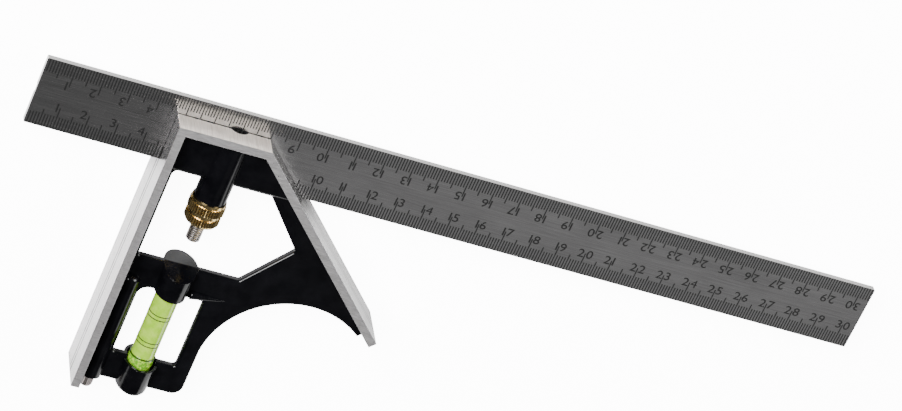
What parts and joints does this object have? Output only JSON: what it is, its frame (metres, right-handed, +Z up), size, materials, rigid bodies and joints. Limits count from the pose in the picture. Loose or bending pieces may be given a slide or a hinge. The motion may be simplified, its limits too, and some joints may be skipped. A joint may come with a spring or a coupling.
{
  "type": "combination square",
  "caption": "Combination square: a graduated steel rule slides in a cast head with 90 and 45 degree faces, locked by a knurled brass nut, with a spirit vial and a scriber in the head.",
  "frame": {"origin": "on the surface that the square lies on, under the middle of its bounding box", "axes": "+X along the rule towards its 30 cm end, +Y across the rule towards its upper edge, +Z up out of the front of the head"},
  "size_m": [0.3048, 0.12, 0.02],
  "materials": {
    "head_casting": "black gloss enamel on the web and bosses, ground bright on the rim",
    "rule_blade": "brushed lengthwise, with black etched graduations",
    "lock_bolt": "bright turned and threaded",
    "lock_spring": "drawn wire",
    "lock_nut": "turned and knurled, bright",
    "vial_tube": "clear acrylic",
    "vial_fluid": "lime green spirit",
    "vial_cap": "clear acrylic, domed",
    "vial_rings": "printed black lines",
    "vial_cement": "set cement",
    "scriber_point": "hardened and ground",
    "scriber_knob": "knurled",
    "scriber_sleeve": "split bush"
  },
  "bodies": {
    "head": {"head_casting": "head_casting", "lock_spring": "lock_spring", "vial_tube": "vial_tube", "vial_fluid": "vial_fluid", "vial_cap": "vial_cap", "vial_rings": "vial_rings", "vial_cement": "vial_cement", "scriber_sleeve": "scriber_sleeve"},
    "rule": {"rule_blade": "rule_blade"},
    "bolt": {"lock_bolt": "lock_bolt"},
    "nut": {"lock_nut": "lock_nut"},
    "scriber": {"scriber_point": "scriber_point", "scriber_knob": "scriber_knob"}
  },
  "joints": [
    {"name": "rule_slide", "type": "slide", "parent": "head", "child": "rule", "axis": [1, 0, 0], "range_m": [-0.225, 0.06]},
    {"name": "nut_spin", "type": "hinge", "parent": "head", "child": "nut", "pos_m": [-0.0833, 0.02465, 0.01], "axis": [0, -1, 0], "range_deg": [0, 270]},
    {"name": "bolt_rise", "type": "slide", "parent": "head", "child": "bolt", "axis": [0, 1, 0], "range_m": [0, 0.0006]},
    {"name": "scriber_pull", "type": "slide", "parent": "head", "child": "scriber", "axis": [0, -1, 0], "range_m": [0, 0.038]}
  ],
  "couplings": [
    {"joint": "bolt_rise", "follows": "nut_spin", "m_per_rad": 0.00012732}
  ]
}
